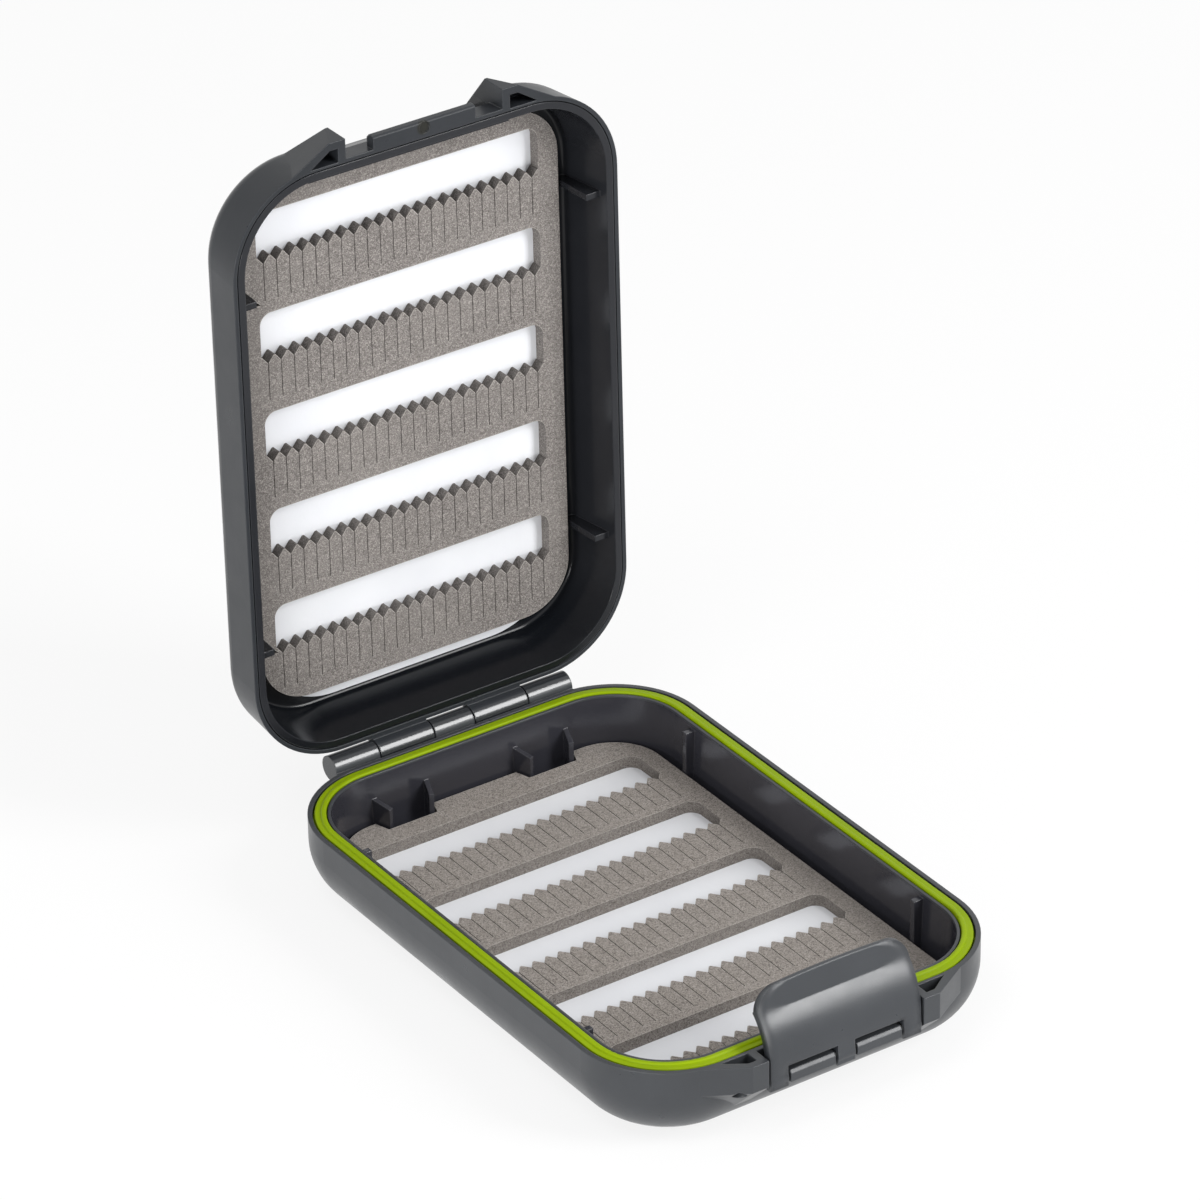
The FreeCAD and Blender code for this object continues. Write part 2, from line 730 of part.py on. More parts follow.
def slot_points(left_x, straight_y, direction, slit_length, z):
    """One foam slot: a straight edge with two round corners, then teeth with slits."""
    pitch = slot_width / teeth_per_slot
    half_notch = (pitch - tooth_flat) / 2
    peak_y = straight_y + direction * slot_opening
    valley_y = peak_y + direction * tooth_depth
    slit_y = valley_y + direction * slit_length
    half_slit = slit_width / 2
    points = [V(left_x, peak_y, z)]
    for index in range(teeth_per_slot):
        valley_x = left_x + (index + 0.5) * pitch
        points.append(V(valley_x - half_notch, peak_y, z))
        points.append(V(valley_x - half_slit, valley_y, z))
        points.append(V(valley_x - half_slit, slit_y, z))
        points.append(V(valley_x + half_slit, slit_y, z))
        points.append(V(valley_x + half_slit, valley_y, z))
        points.append(V(valley_x + half_notch, peak_y, z))
    points.append(V(left_x + slot_width, peak_y, z))
    return points


def slot_wire(centre_x, straight_y, direction, slit_length, z):
    """The closed outline of one foam slot."""
    left_x = centre_x - slot_width / 2
    right_x = left_x + slot_width
    points = slot_points(left_x, straight_y, direction, slit_length, z)
    edges = [Part.LineSegment(a, b).toShape() for a, b in zip(points, points[1:])]
    radius = slot_corner_radius
    turn = radius * (1 - math.cos(math.radians(45)))
    right_side = V(right_x, straight_y + direction * radius, z)
    right_middle = V(right_x - turn, straight_y + direction * turn, z)
    right_end = V(right_x - radius, straight_y, z)
    left_start = V(left_x + radius, straight_y, z)
    left_middle = V(left_x + turn, straight_y + direction * turn, z)
    left_side = V(left_x, straight_y + direction * radius, z)
    edges.append(Part.LineSegment(points[-1], right_side).toShape())
    edges.append(Part.Arc(right_side, right_middle, right_end).toShape())
    edges.append(Part.LineSegment(right_end, left_start).toShape())
    edges.append(Part.Arc(left_start, left_middle, left_side).toShape())
    edges.append(Part.LineSegment(left_side, points[0]).toShape())
    return Part.Wire(edges)


def foam_blank(centre_x, low_y, high_y, z, thickness, radius):
    """A foam or sheet blank with round corners."""
    middle_y = (low_y + high_y) / 2
    half_y = (high_y - low_y) / 2
    outline = rounded_rectangle(foam_width / 2, half_y, radius, z, V(centre_x, middle_y, 0))
    return prism(outline, thickness)


def cut_slots(blank, centre_x, middle_line, pitch, band, direction, z):
    """The blank with its five slots cut through, which leave a band behind the slits."""
    slit_length = pitch - slot_opening - tooth_depth - band
    for index in range(slot_count):
        straight_y = middle_line + (index - (slot_count - 1) / 2) * pitch
        wire = slot_wire(centre_x, straight_y, direction, slit_length, z)
        blank = blank.cut(Part.Face(wire).extrude(V(0, 0, foam_thickness)))
    return blank


def clip_notches(z, height):
    """The openings in the base's insert around each pair of clip fins."""
    wall_y = half_length - base_rim_width + overrun
    tip_y = half_length - clip_reach - clip_notch_gap
    notches = []
    for pair_x in (-clip_pair_x, clip_pair_x):
        spread = clip_thickness / 2 + clip_notch_gap
        wall_half = clip_wall_half + spread
        tip_half = clip_tip_half + spread
        points = [V(pair_x - wall_half, wall_y, z), V(pair_x - tip_half, tip_y, z),
                  V(pair_x + tip_half, tip_y, z), V(pair_x + wall_half, wall_y, z)]
        notches.append(polygon_prism(points, V(0, 0, height)))
    return notches


def make_base_foam():
    """The slit-foam insert of the base."""
    blank = foam_blank(base_foam_shift, -base_foam_front, base_foam_back, base_foam_bottom,
                       foam_thickness, foam_corner_radius)
    for notch in clip_notches(base_foam_bottom, foam_thickness):
        blank = blank.cut(notch)
    return cut_slots(blank, base_foam_shift, base_slot_line, base_slot_pitch, base_slit_band, -1,
                     base_foam_bottom)


def make_base_sheet():
    """The white sheet under the base's insert."""
    low = base_foam_bottom - sheet_thickness
    blank = foam_blank(base_foam_shift, -base_foam_front, base_foam_back, low, sheet_thickness,
                       foam_corner_radius)
    for notch in clip_notches(low, sheet_thickness):
        blank = blank.cut(notch)
    return blank


def lid_notches(z, height):
    """Two three-cornered thumb notches in the left edge of the lid's insert."""
    left = -foam_width / 2 - overrun
    inner = -foam_width / 2 + lid_notch_depth
    notches = []
    for low_y in (-lid_notch_front, lid_notch_back):
        points = [V(left, low_y - lid_notch_height, z), V(inner, low_y, z), V(left, low_y, z)]
        notches.append(polygon_prism(points, V(0, 0, height)))
    return notches


def make_lid_foam():
    """The slit-foam insert of the lid, modelled with the lid shut."""
    blank = foam_blank(0, -lid_foam_front, lid_foam_back, lid_foam_low, foam_thickness,
                       foam_corner_radius)
    for notch in lid_notches(lid_foam_low, foam_thickness):
        blank = blank.cut(notch)
    return cut_slots(blank, -lid_slot_shift, -lid_slot_line, lid_slot_pitch, lid_slit_band, 1,
                     lid_foam_low)


def make_lid_sheet():
    """The white sheet between the lid's insert and its roof."""
    back = lid_foam_back + lid_sheet_overhang
    return foam_blank(0, -lid_foam_front, back, lid_ceiling - sheet_thickness, sheet_thickness,
                      lid_sheet_corner_radius)


def make_hinge_pin():
    """The pin through all five hinge barrels."""
    start = -knuckle_outer_half + knuckle_end_wall
    return knuckle(start, knuckle_outer_half, hinge_y, hinge_z, hinge_pin_radius)


def make_latch_pin():
    """The pin on which the latch turns."""
    return knuckle(-latch_half, latch_half, latch_pin_y, latch_pin_z, latch_pin_radius)


def opened(shape):
    """A lid piece turned up from shut to the angle at which the lid stands."""
    turned = shape.copy()
    turned.rotate(V(0, hinge_y, hinge_z), X_AXIS, -lid_open_angle)
    return turned


def main():
    os.makedirs("parts", exist_ok=True)
    parts = {
        "base_shell": make_base_shell(),
        "seal_ring": make_seal(),
        "base_sheet": make_base_sheet(),
        "base_foam": make_base_foam(),
        "hinge_pin": make_hinge_pin(),
        "latch_pin": make_latch_pin(),
        "latch": make_latch(),
        "lid_shell": opened(make_lid_shell()),
        "lid_sheet": opened(make_lid_sheet()),
        "lid_foam": opened(make_lid_foam()),
    }
    for name, shape in parts.items():
        shape.exportStep("parts/" + name + ".step")
        size = shape.BoundBox
        print(name, shape.ShapeType, shape.isValid(), len(shape.Solids), "faces", len(shape.Faces),
              "volume", round(shape.Volume, 1), "z", round(size.ZMin, 2), round(size.ZMax, 2))


main()
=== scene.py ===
import bpy
import math
from mathutils import Matrix, Vector

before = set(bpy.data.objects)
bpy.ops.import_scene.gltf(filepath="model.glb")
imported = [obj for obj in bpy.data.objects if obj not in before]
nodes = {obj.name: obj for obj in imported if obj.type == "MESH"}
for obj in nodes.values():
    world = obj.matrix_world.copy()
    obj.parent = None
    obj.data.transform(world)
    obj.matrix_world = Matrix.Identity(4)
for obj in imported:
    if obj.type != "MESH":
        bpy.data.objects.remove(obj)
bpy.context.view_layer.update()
scene = bpy.context.scene

# Camera, placed as the photograph was taken: metres, and millimetres for the lens and sensor
camera_place = (-0.7350638, -1.0789710, 0.8505521)
camera_lens = 211.65
camera_sensor = 36.0
camera_near = 0.05
camera_far = 50.0
camera_turn = (
    (0.8249923, 0.2947806, -0.4821743),
    (-0.5649668, 0.4088233, -0.7167119),
    (-0.0141487, 0.8636943, 0.5038174),
)

# Places on the case that the finishes follow, in metres
corner_radius = 0.0221
corner_x = 0.0279
corner_y = 0.0505
hinge_place = (0.0, 0.07605, 0.02004)
lid_turn = math.radians(90.8)
barrel_front = 0.0735
# Band along Y over which the hollow darkens towards the hinge wall, as painted shade
hinge_shade_band = (0.054, 0.066)
latch_end_band = (0.0115, 0.0165)
gate_mark = (-0.0003, -0.0742, 0.0205)
gate_mark_radius = 0.0019
gate_mark_core = 0.7 * gate_mark_radius

# Hollow of each shell: its inset from the outline, its floor and its top
base_hollow = (0.0046, 0.0010, 0.0199)
lid_hollow = (0.0012, 0.0200, 0.0352)

# Noise: the band that most of its values lie in, and each pattern's scale, detail and roughness
noise_band = (0.3, 0.7)
plastic_cloud = (45.0, 4.0, 0.55)
plastic_patch = (130.0, 3.0, 0.6)
plastic_wave = (28.0, 1.0, 0.4)
plastic_spark = (2600.0, 2.0, 0.6)
seal_cloud = (70.0, 3.0, 0.5)
seal_mottle = (900.0, 2.0, 0.5)
foam_broad = (1500.0, 3.0, 0.7)
foam_cloud = (35.0, 2.0, 0.5)
foam_lumps = (1300.0, 3.0, 0.6)
sheet_cloud = (60.0, 3.0, 0.5)
sheet_fibre = (1300.0, 3.0, 0.6)
wire_draw = (1500.0, 2.0, 0.5)
floor_cloud = (6.0, 2.0, 0.5)

# Scale of the small cells that make the foam's specks and pores
speck_scale = 4800.0
pore_scale = 2600.0

# Bumps: strength and depth
wave_bump = (0.06, 0.002)
spark_bump = (0.08, 0.0002)
seal_bump = (0.15, 0.0002)
pore_bump = (0.42, 0.00018)
lump_bump = (0.15, 0.0002)
fibre_bump = (0.10, 0.0002)

# Softened edges: how wide the softening is, and how far a normal turns on them
bevel_samples = 6
# The next two set the mask of the painted highlight along the plastic's edges
edge_highlight_radius = 0.00035
edge_highlight_turn = (0.995, 0.80)
shell_softness = 0.0004
latch_softness = (0.0005, 0.0032)
seal_softness = 0.0006
foam_softness = 0.00025
# The next two set the mask of the painted highlight along the foam's cut edges
foam_edge_radius = 0.00042
foam_edge_turn = (0.996, 0.86)
slot_tilt = (0.03, 0.16)

# Plastic tones, roughness and gloss
# Base and lid are one plastic: the lid's tones are darker than the base's as painted shade
base_tones = ((0.035, 0.0375, 0.0415), (0.043, 0.0465, 0.0515))
lid_tones = ((0.020, 0.0225, 0.026), (0.026, 0.0285, 0.033))
latch_tones = ((0.0205, 0.0235, 0.028), (0.0265, 0.030, 0.0355))
# Darker tones inside the hollow than outside, and darker still by the hinge wall: painted shade
base_inner_tones = ((0.029, 0.029, 0.036), (0.036, 0.036, 0.044))
lid_inner_tones = ((0.014, 0.015, 0.018), (0.018, 0.019, 0.022))
base_hinge_shade_tone = (0.031, 0.031, 0.038)
lid_hinge_shade_tone = (0.006, 0.007, 0.009)
# Painted highlight: lighter tones along the plastic's edges, outside and inside the hollow
edge_highlight_tone = (0.055, 0.059, 0.066)
inner_edge_highlight_tone = (0.045, 0.048, 0.055)
inner_edge_highlight_share = 0.5
# Darker tone on the hinge barrels: painted shade
barrel_shade_tone = (0.020, 0.022, 0.025)
gate_tone = (0.016, 0.016, 0.013)
outer_roughness = (0.27, 0.36)
inner_roughness = (0.13, 0.20)
barrel_roughness = 0.13
base_gloss = (0.38, 0.5)
lid_gloss = (0.22, 0.24)
latch_gloss = 0.62
barrel_gloss = 0.62

# Seal tones, roughness and gloss
seal_tones = ((0.212, 0.312, 0.0002), (0.242, 0.348, 0.0006))
seal_roughness = (0.34, 0.46)
seal_gloss = 0.12

# Foam tones, the band of random values that each takes and its share
# Both inserts are one foam: the lid's tones are darker than the base's as painted shade
base_foam_tones = ((0.214, 0.190, 0.170), (0.292, 0.264, 0.240))
lid_foam_tones = ((0.134, 0.121, 0.114), (0.203, 0.187, 0.177))
pale_speck_tone = (0.42, 0.39, 0.365)
pale_speck_band = (0.60, 1.0)
pale_speck_share = 0.62
dark_speck_tone = (0.070, 0.062, 0.056)
dark_speck_band = (0.34, 0.0)
dark_speck_share = 0.74
foam_cloud_tone = (0.29, 0.27, 0.25)
foam_cloud_band = (0.35, 0.75)
foam_cloud_share = 0.20
# Painted highlight along the foam's cut edges
foam_edge_highlight_tone = (0.45, 0.42, 0.39)
foam_edge_highlight_share = 0.85
# Tone that the foam's cut walls are darkened towards, as painted shade
cut_wall_shade_tone = (0.030, 0.027, 0.025)
wall_limit = 0.5
upward_limit = 0.4
foam_roughness = 0.9
foam_gloss = 0.2

# Light kept by the walls of the foam's cuts under their painted shade, sideways and upward, and
# the strength of its grain
base_foam_look = (0.74, 0.74, 1.1)
lid_foam_look = (0.90, 0.62, 1.0)

# Sheet, wire and floor
sheet_tones = ((0.700, 0.710, 0.740), (0.745, 0.755, 0.780))
sheet_roughness = 0.45
wire_tones = ((0.50, 0.50, 0.51), (0.62, 0.62, 0.62))
wire_band = (0.2, 0.8)
wire_roughness = (0.25, 0.42)
floor_tones = ((0.86, 0.86, 0.86), (0.89, 0.89, 0.89))
floor_roughness = 0.9
floor_white_share = 0.84
floor_reach = 3.0
floor_drop = 0.00005

# Light: the world's strength, and each lamp's place, aim, width, height and power
world_strength = 0.55
white_strength = 1.0
white = (1.0, 1.0, 1.0, 1.0)
lamps = {
    "lamp_front": ((0.64, -0.88, 0.76), (0.0, 0.0, 0.03), 0.42, 0.80, 13.5),
    "lamp_left": ((-0.60, -0.34, 0.08), (0.0, 0.0, 0.01), 0.42, 0.14, 2.7),
    "lamp_above": ((-0.50, -0.25, 1.05), (0.0, 0.0, 0.05), 0.45, 0.45, 3.2),
}


# Node helpers
def material(name):
    """A new material with one Principled shader, its node tree and the shader."""
    made = bpy.data.materials.new(name)
    made.use_nodes = True
    tree = made.node_tree
    tree.nodes.clear()
    output = tree.nodes.new("ShaderNodeOutputMaterial")
    shader = tree.nodes.new("ShaderNodeBsdfPrincipled")
    tree.links.new(shader.outputs["BSDF"], output.inputs["Surface"])
    return made, tree, shader


def place(tree):
    """The piece's own coordinates, which stay on it when it moves."""
    return tree.nodes.new("ShaderNodeTexCoord").outputs["Object"]


def shut_place(tree):
    """The lid's own coordinates, turned back to where it lies when it is shut."""
    node = tree.nodes.new("ShaderNodeVectorRotate")
    node.rotation_type = "AXIS_ANGLE"
    node.inputs["Center"].default_value = hinge_place
    node.inputs["Axis"].default_value = (1.0, 0.0, 0.0)
    node.inputs["Angle"].default_value = lid_turn
    tree.links.new(place(tree), node.inputs["Vector"])
    return node.outputs["Vector"]


def axes(tree, vector):
    """The X, Y and Z values of a vector."""
    node = tree.nodes.new("ShaderNodeSeparateXYZ")
    tree.links.new(vector, node.inputs["Vector"])
    return node.outputs


def number(tree, operation, first, second=None):
    """One step of arithmetic on values or plain numbers."""
    node = tree.nodes.new("ShaderNodeMath")
    node.operation = operation
    for socket, value in zip(node.inputs, (first, second)):
        if value is None:
            continue
        if isinstance(value, (int, float)):
            socket.default_value = value
        else:
            tree.links.new(value, socket)
    return node.outputs["Value"]


def span(tree, value, low, high, out_low, out_high):
    """A value mapped from one range to another, and held inside it."""
    node = tree.nodes.new("ShaderNodeMapRange")
    node.clamp = True
    node.inputs["From Min"].default_value = low
    node.inputs["From Max"].default_value = high
    node.inputs["To Min"].default_value = out_low
    node.inputs["To Max"].default_value = out_high
    tree.links.new(value, node.inputs["Value"])
    return node.outputs["Result"]


def noise(tree, vector, scale, detail, roughness):
    """Smooth random value between 0 and 1."""
    node = tree.nodes.new("ShaderNodeTexNoise")
    node.inputs["Scale"].default_value = scale
    node.inputs["Detail"].default_value = detail
    node.inputs["Roughness"].default_value = roughness
    tree.links.new(vector, node.inputs["Vector"])
    return node.outputs["Fac"]


def spread(tree, value, low=0.0, high=1.0):
    """A noise value spread evenly between two values."""
    return span(tree, value, *noise_band, low, high)


def cells(tree, vector, scale):
    """A pattern of many small cells around scattered points."""
    node = tree.nodes.new("ShaderNodeTexVoronoi")
    node.inputs["Scale"].default_value = scale
    tree.links.new(vector, node.inputs["Vector"])
    return node.outputs


def cell_shade(tree, vector, scale):
    """One random value for each of many small cells."""
    split = tree.nodes.new("ShaderNodeSeparateColor")
    tree.links.new(cells(tree, vector, scale)["Color"], split.inputs["Color"])
    return split.outputs["Red"]


def blend(tree, share, first, second):
    """A colour between two colours."""
    node = tree.nodes.new("ShaderNodeMix")
    node.data_type = "RGBA"
    tree.links.new(share, node.inputs[0])
    for socket, value in ((node.inputs[6], first), (node.inputs[7], second)):
        if isinstance(value, tuple):
            socket.default_value = (*value, 1.0)
        else:
            tree.links.new(value, socket)
    return node.outputs[2]


def choose(tree, share, first, second):
    """A value between two values."""
    node = tree.nodes.new("ShaderNodeMix")
    sockets = (node.inputs[0], node.inputs[2], node.inputs[3])
    for socket, value in zip(sockets, (share, first, second)):
        if isinstance(value, float):
            socket.default_value = value
        else:
            tree.links.new(value, socket)
    return node.outputs[0]


def rounded(tree, radius):
    """A normal that softens sharp edges, by a plain or a changing radius."""
    node = tree.nodes.new("ShaderNodeBevel")
    node.samples = bevel_samples
    if isinstance(radius, float):
        node.inputs["Radius"].default_value = radius
    else:
        tree.links.new(radius, node.inputs["Radius"])
    return node.outputs["Normal"]


def bump(tree, height, strength, depth, normal=None):
    """A normal roughened by a height, over another normal if one is given."""
    node = tree.nodes.new("ShaderNodeBump")
    node.inputs["Strength"].default_value = strength
    node.inputs["Distance"].default_value = depth
    tree.links.new(height, node.inputs["Height"])
    if normal is not None:
        tree.links.new(normal, node.inputs["Normal"])
    return node.outputs["Normal"]


def corner_share(tree, soft, flat, full):
    """How near an edge is, judged by a softened normal: 0 on flat faces, 1 on edges."""
    true = tree.nodes.new("ShaderNodeNewGeometry").outputs["True Normal"]
    dot = tree.nodes.new("ShaderNodeVectorMath")
    dot.operation = "DOT_PRODUCT"
    tree.links.new(soft, dot.inputs[0])
    tree.links.new(true, dot.inputs[1])
    return span(tree, dot.outputs["Value"], flat, full, 0.0, 1.0)


def slot_share(tree, soft, slot_axis):
    """1 at the edges of slots and teeth, and 0 beside the slits, whose walls face sideways."""
    turned = tree.nodes.new("ShaderNodeVectorTransform")
    turned.vector_type = "NORMAL"
    turned.convert_from = "WORLD"
    turned.convert_to = "OBJECT"
    tree.links.new(soft, turned.inputs["Vector"])
    tilt = number(tree, "ABSOLUTE", axes(tree, turned.outputs["Vector"])[slot_axis])
    return span(tree, tilt, *slot_tilt, 0.0, 1.0)


def spot(tree, vector, centre, radius, core):
    """1 close around a point, fading from a core to 0 at a radius."""
    node = tree.nodes.new("ShaderNodeVectorMath")
    node.operation = "DISTANCE"
    node.inputs[1].default_value = centre
    tree.links.new(vector, node.inputs[0])
    return span(tree, node.outputs["Value"], radius, core, 0.0, 1.0)


def inside(tree, vector, inset, low, high):
    """1 where a point lies within a shell's hollow, judged by inset and height, else 0."""
    point = axes(tree, vector)
    squares = []
    for axis, corner in (("X", corner_x), ("Y", corner_y)):
        past = number(tree, "SUBTRACT", number(tree, "ABSOLUTE", point[axis]), corner)
        past = number(tree, "MAXIMUM", past, 0.0)
        squares.append(number(tree, "MULTIPLY", past, past))
    away = number(tree, "SQRT", number(tree, "ADD", *squares))
    near = number(tree, "LESS_THAN", away, corner_radius - inset)
    above = number(tree, "GREATER_THAN", point["Z"], low)
    below = number(tree, "LESS_THAN", point["Z"], high)
    return number(tree, "MULTIPLY", near, number(tree, "MULTIPLY", above, below))


def looked_at(tree):
    """1 where the camera looks, or a reflection or a clear piece shows it, else 0."""
    rays = tree.nodes.new("ShaderNodeLightPath").outputs
    seen = number(tree, "MAXIMUM", rays["Is Camera Ray"], rays["Is Glossy Ray"])
    return number(tree, "MAXIMUM", seen, rays["Is Transmission Ray"])


# Finishes
def plastic_skin(tree, shader, vector, colour, rough, softness):
    """What all the plastic shares at the end: its colour, roughness and uneven skin."""
    wave = noise(tree, vector, *plastic_wave)
    spark = noise(tree, vector, *plastic_spark)
    coarse = bump(tree, wave, *wave_bump, rounded(tree, softness))
    tree.links.new(colour, shader.inputs["Base Color"])
    tree.links.new(rough, shader.inputs["Roughness"])
    tree.links.new(bump(tree, spark, *spark_bump, coarse), shader.inputs["Normal"])


def shell_finish(name, vector_maker, tones, gloss_pair, hollow, inner_tones, hinge_shade_tone):
    """Shell plastic: darker inside the hollow and darker still by the hinge wall, both painted
    shade, and smoother there; glossy on the hinge barrels, whose darker tone is painted shade.
    """
    made, tree, shader = material(name)
    vector = vector_maker(tree)
    point = axes(tree, vector)
    cloud = spread(tree, noise(tree, vector, *plastic_cloud))
    # Painted highlight: a lighter tone along the edges
    edge_highlight = corner_share(tree, rounded(tree, edge_highlight_radius), *edge_highlight_turn)
    colour = blend(tree, edge_highlight, blend(tree, cloud, *tones), edge_highlight_tone)
    patch = noise(tree, vector, *plastic_patch)
    share = inside(tree, vector, *hollow)
    barrel = number(tree, "GREATER_THAN", point["Y"], barrel_front)
    # Painted shade: darker inside the hollow, and darker still towards the hinge wall
    inner = blend(tree, cloud, *inner_tones)
    hinge_shade = span(tree, point["Y"], *hinge_shade_band, 0.0, 1.0)
    inner = blend(tree, hinge_shade, inner, hinge_shade_tone)
    inner_edge_highlight = number(tree, "MULTIPLY", edge_highlight, inner_edge_highlight_share)
    inner = blend(tree, inner_edge_highlight, inner, inner_edge_highlight_tone)
    colour = blend(tree, share, colour, inner)
    # Painted shade: the hinge barrels darker than the rest
    colour = blend(tree, barrel, colour, barrel_shade_tone)
    mark = spot(tree, vector, gate_mark, gate_mark_radius, gate_mark_core)
    colour = blend(tree, mark, colour, gate_tone)
    outer_rough = spread(tree, patch, *outer_roughness)
    inner_rough = spread(tree, patch, *inner_roughness)
    rough = choose(tree, share, outer_rough, inner_rough)
    rough = choose(tree, barrel, rough, barrel_roughness)
    gloss = choose(tree, share, *gloss_pair)
    gloss = choose(tree, barrel, gloss, barrel_gloss)
    tree.links.new(gloss, shader.inputs["Specular IOR Level"])
    plastic_skin(tree, shader, vector, colour, rough, shell_softness)
    return made


def latch_finish():
    """Latch plastic, whose edges look rounder towards its two ends."""
    made, tree, shader = material("shell_plastic_latch")
    vector = place(tree)
    cloud = spread(tree, noise(tree, vector, *plastic_cloud))
    # Painted highlight: a lighter tone along the edges
    edge_highlight = corner_share(tree, rounded(tree, edge_highlight_radius), *edge_highlight_turn)
    colour = blend(tree, edge_highlight, blend(tree, cloud, *latch_tones), edge_highlight_tone)
    shader.inputs["Specular IOR Level"].default_value = latch_gloss
    rough = spread(tree, noise(tree, vector, *plastic_patch), *outer_roughness)
    aside = number(tree, "ABSOLUTE", axes(tree, vector)["X"])
    softness = span(tree, aside, *latch_end_band, *latch_softness)
    plastic_skin(tree, shader, vector, colour, rough, softness)
    return made


def seal_finish():
    """Smooth lime elastomer."""
    made, tree, shader = material("seal_elastomer")
    where = place(tree)
    cloud = spread(tree, noise(tree, where, *seal_cloud))
    mottle = noise(tree, where, *seal_mottle)
    tree.links.new(blend(tree, cloud, *seal_tones), shader.inputs["Base Color"])
    tree.links.new(spread(tree, mottle, *seal_roughness), shader.inputs["Roughness"])
    shader.inputs["Specular IOR Level"].default_value = seal_gloss
    skin = bump(tree, mottle, *seal_bump, rounded(tree, seal_softness))
    tree.links.new(skin, shader.inputs["Normal"])
    return made


def foam_finish(name, face_axis, slot_axis, tones, side_light, up_light, grain):
    """Speckled foam, with a painted highlight along its cut edges and painted shade on its cut
    walls.
    """
    made, tree, shader = material(name)
    where = place(tree)
    speck = cell_shade(tree, where, speck_scale)
    broad = spread(tree, noise(tree, where, *foam_broad))
    cloud = noise(tree, where, *foam_cloud)
    tone = blend(tree, broad, *tones)
    pale = span(tree, speck, *pale_speck_band, 0.0, pale_speck_share * grain)
    tone = blend(tree, pale, tone, pale_speck_tone)
    dark = span(tree, speck, *dark_speck_band, 0.0, dark_speck_share * grain)
    tone = blend(tree, dark, tone, dark_speck_tone)
    cloudy = span(tree, cloud, *foam_cloud_band, 0.0, foam_cloud_share)
    tone = blend(tree, cloudy, tone, foam_cloud_tone)
    facing = axes(tree, tree.nodes.new("ShaderNodeTexCoord").outputs["Normal"])
    wall = number(tree, "LESS_THAN", number(tree, "ABSOLUTE", facing[face_axis]), wall_limit)
    face = number(tree, "SUBTRACT", 1.0, wall)
    # Painted highlight: a lighter tone along the cut edges of slots and teeth
    soft = rounded(tree, foam_edge_radius)
    edge = number(tree, "MULTIPLY", corner_share(tree, soft, *foam_edge_turn), face)
    edge = number(tree, "MULTIPLY", edge, slot_share(tree, soft, slot_axis))
    tone = blend(tree, number(tree, "MULTIPLY", edge, foam_edge_highlight_share), tone, foam_edge_highlight_tone)
    # Painted shade: the cut walls darkened, those facing up and those facing sideways each by
    # their own amount
    upward = number(tree, "GREATER_THAN", facing["Z"], upward_limit)
    upward = number(tree, "MULTIPLY", wall, upward)
    sideways = number(tree, "SUBTRACT", wall, upward)
    tone = blend(tree, number(tree, "MULTIPLY", sideways, 1.0 - side_light), tone, cut_wall_shade_tone)
    tone = blend(tree, number(tree, "MULTIPLY", upward, 1.0 - up_light), tone, cut_wall_shade_tone)
    tree.links.new(tone, shader.inputs["Base Color"])
    shader.inputs["Roughness"].default_value = foam_roughness
    shader.inputs["Specular IOR Level"].default_value = foam_gloss
    pores = cells(tree, where, pore_scale)["Distance"]
    lumps = noise(tree, where, *foam_lumps)
    skin = bump(tree, pores, *pore_bump, rounded(tree, foam_softness))
    tree.links.new(bump(tree, lumps, *lump_bump, skin), shader.inputs["Normal"])
    return made


def sheet_finish():
    """White sheet with a fine fibre."""
    made, tree, shader = material("sheet_white")
    where = place(tree)
    cloud = spread(tree, noise(tree, where, *sheet_cloud))
    tree.links.new(blend(tree, cloud, *sheet_tones), shader.inputs["Base Color"])
    shader.inputs["Roughness"].default_value = sheet_roughness
    fibre = noise(tree, where, *sheet_fibre)
    tree.links.new(bump(tree, fibre, *fibre_bump), shader.inputs["Normal"])
    return made


def wire_finish():
    """Drawn steel wire."""
    made, tree, shader = material("pin_steel")
    shader.inputs["Metallic"].default_value = 1.0
    draw = noise(tree, place(tree), *wire_draw)
    tree.links.new(blend(tree, draw, *wire_tones), shader.inputs["Base Color"])
    rough = span(tree, draw, *wire_band, *wire_roughness)
    tree.links.new(rough, shader.inputs["Roughness"])
    return made


def floor_finish():
    """Pale floor that takes a shadow, and looks nearly white to the camera and in gloss."""
    made, tree, shader = material("floor_pale")
    cloud = noise(tree, place(tree), *floor_cloud)
    tree.links.new(blend(tree, cloud, *floor_tones), shader.inputs["Base Color"])
    shader.inputs["Roughness"].default_value = floor_roughness
    glow = tree.nodes.new("ShaderNodeEmission")
    glow.inputs["Strength"].default_value = white_strength
    both = tree.nodes.new("ShaderNodeMixShader")
    share = number(tree, "MULTIPLY", looked_at(tree), floor_white_share)
    tree.links.new(share, both.inputs["Fac"])
    output = shader.outputs["BSDF"].links[0].to_socket
    tree.links.new(shader.outputs["BSDF"], both.inputs[1])
    tree.links.new(glow.outputs["Emission"], both.inputs[2])
    tree.links.new(both.outputs["Shader"], output)
    return made


# Camera
camera_data = bpy.data.cameras.new("camera")
camera_data.lens = camera_lens
camera_data.sensor_width = camera_sensor
camera_data.sensor_height = camera_sensor
camera_data.sensor_fit = "HORIZONTAL"
camera_data.clip_start = camera_near
camera_data.clip_end = camera_far
camera = bpy.data.objects.new("camera", camera_data)
scene.collection.objects.link(camera)
turn = Matrix(camera_turn).to_4x4()
camera.matrix_world = Matrix.Translation(Vector(camera_place)) @ turn
scene.camera = camera

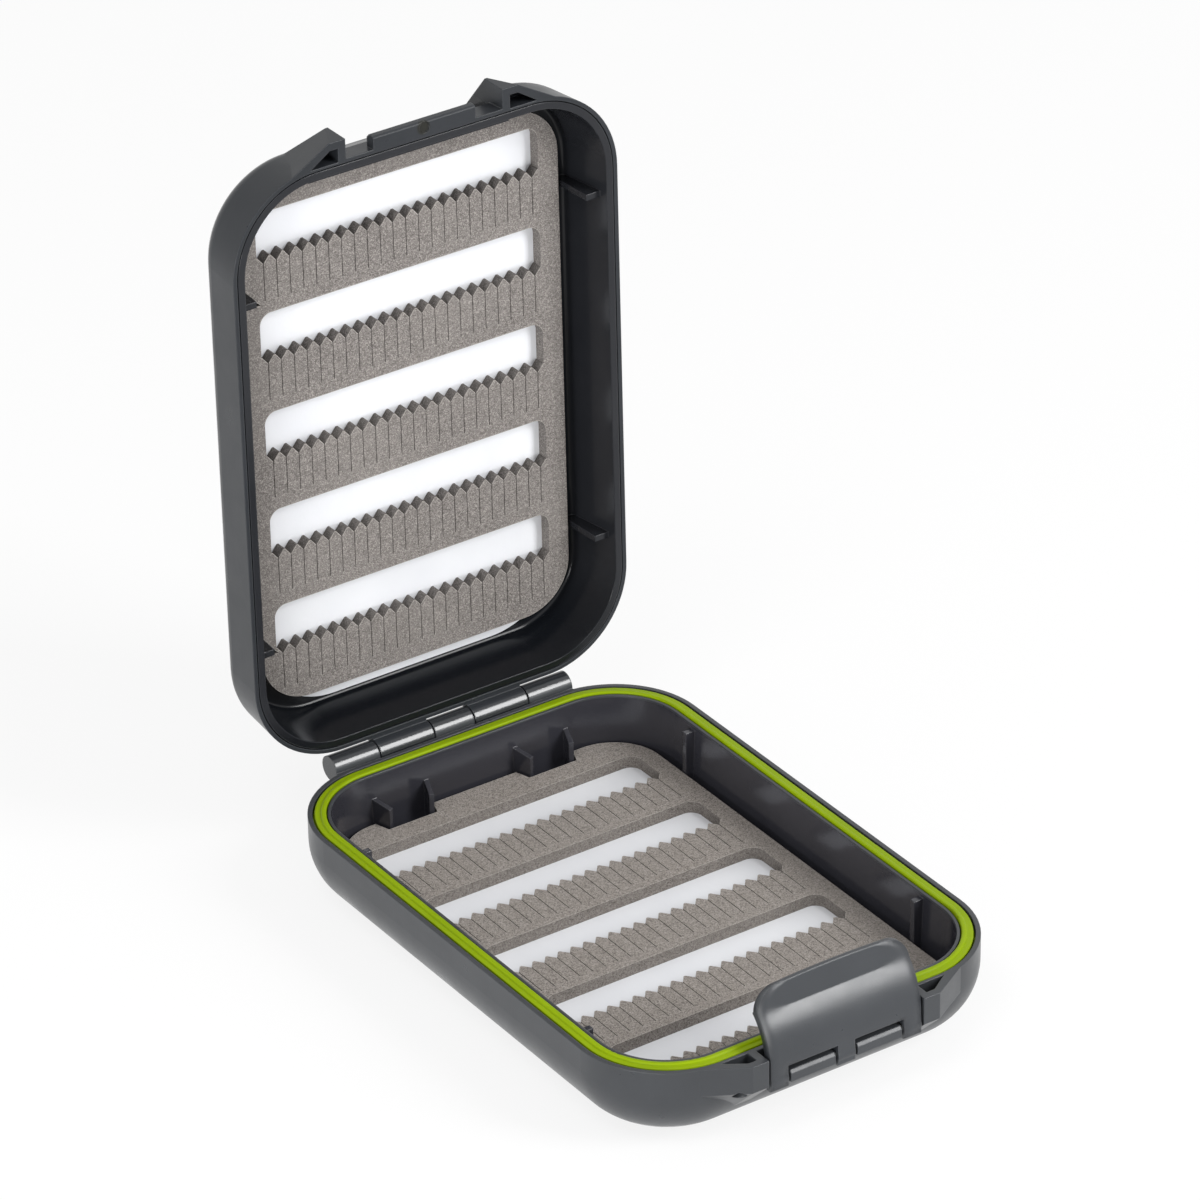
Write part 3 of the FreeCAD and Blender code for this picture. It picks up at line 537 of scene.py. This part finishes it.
# Pieces
sheet = sheet_finish()
wire = wire_finish()
finishes = {
    "base_shell": shell_finish("shell_plastic_base", place, base_tones, base_gloss,
                               base_hollow, base_inner_tones, base_hinge_shade_tone),
    "lid_shell": shell_finish("shell_plastic_lid", shut_place, lid_tones, lid_gloss,
                              lid_hollow, lid_inner_tones, lid_hinge_shade_tone),
    "latch": latch_finish(),
    "seal_ring": seal_finish(),
    "base_foam": foam_finish("foam_speckled_base", "Z", "Y", base_foam_tones, *base_foam_look),
    "lid_foam": foam_finish("foam_speckled_lid", "Y", "Z", lid_foam_tones, *lid_foam_look),
    "base_sheet": sheet,
    "lid_sheet": sheet,
    "hinge_pin": wire,
    "latch_pin": wire,
}
for name, finish in finishes.items():
    for slot in nodes[name].material_slots:
        slot.material = finish

# Floor
floor_data = bpy.data.meshes.new("floor")
floor_signs = ((-1, -1), (1, -1), (1, 1), (-1, 1))
floor_corners = [(x * floor_reach, y * floor_reach, -floor_drop) for x, y in floor_signs]
floor_data.from_pydata(floor_corners, [], [(0, 1, 2, 3)])
floor_data.materials.append(floor_finish())
floor = bpy.data.objects.new("floor", floor_data)
scene.collection.objects.link(floor)

# World: even pale light, plain white where the camera sees it
world = bpy.data.worlds.new("studio")
world.use_nodes = True
scene.world = world
sky = world.node_tree
sky.nodes.clear()
sky_output = sky.nodes.new("ShaderNodeOutputWorld")
sky_mix = sky.nodes.new("ShaderNodeMixShader")
sky.links.new(looked_at(sky), sky_mix.inputs["Fac"])
for socket, strength in ((sky_mix.inputs[1], world_strength), (sky_mix.inputs[2], white_strength)):
    background = sky.nodes.new("ShaderNodeBackground")
    background.inputs["Color"].default_value = white
    background.inputs["Strength"].default_value = strength
    sky.links.new(background.outputs["Background"], socket)
sky.links.new(sky_mix.outputs["Shader"], sky_output.inputs["Surface"])

# Lamps, all soft and flat
for name, (lamp_place, aim, width, height, power) in lamps.items():
    lamp_data = bpy.data.lights.new(name, "AREA")
    lamp_data.shape = "RECTANGLE"
    lamp_data.size = width
    lamp_data.size_y = height
    lamp_data.energy = power
    lamp = bpy.data.objects.new(name, lamp_data)
    scene.collection.objects.link(lamp)
    lamp.location = lamp_place
    direction = Vector(aim) - Vector(lamp_place)
    lamp.rotation_mode = "QUATERNION"
    lamp.rotation_quaternion = direction.to_track_quat("-Z", "Y")

scene.view_settings.view_transform = "Standard"
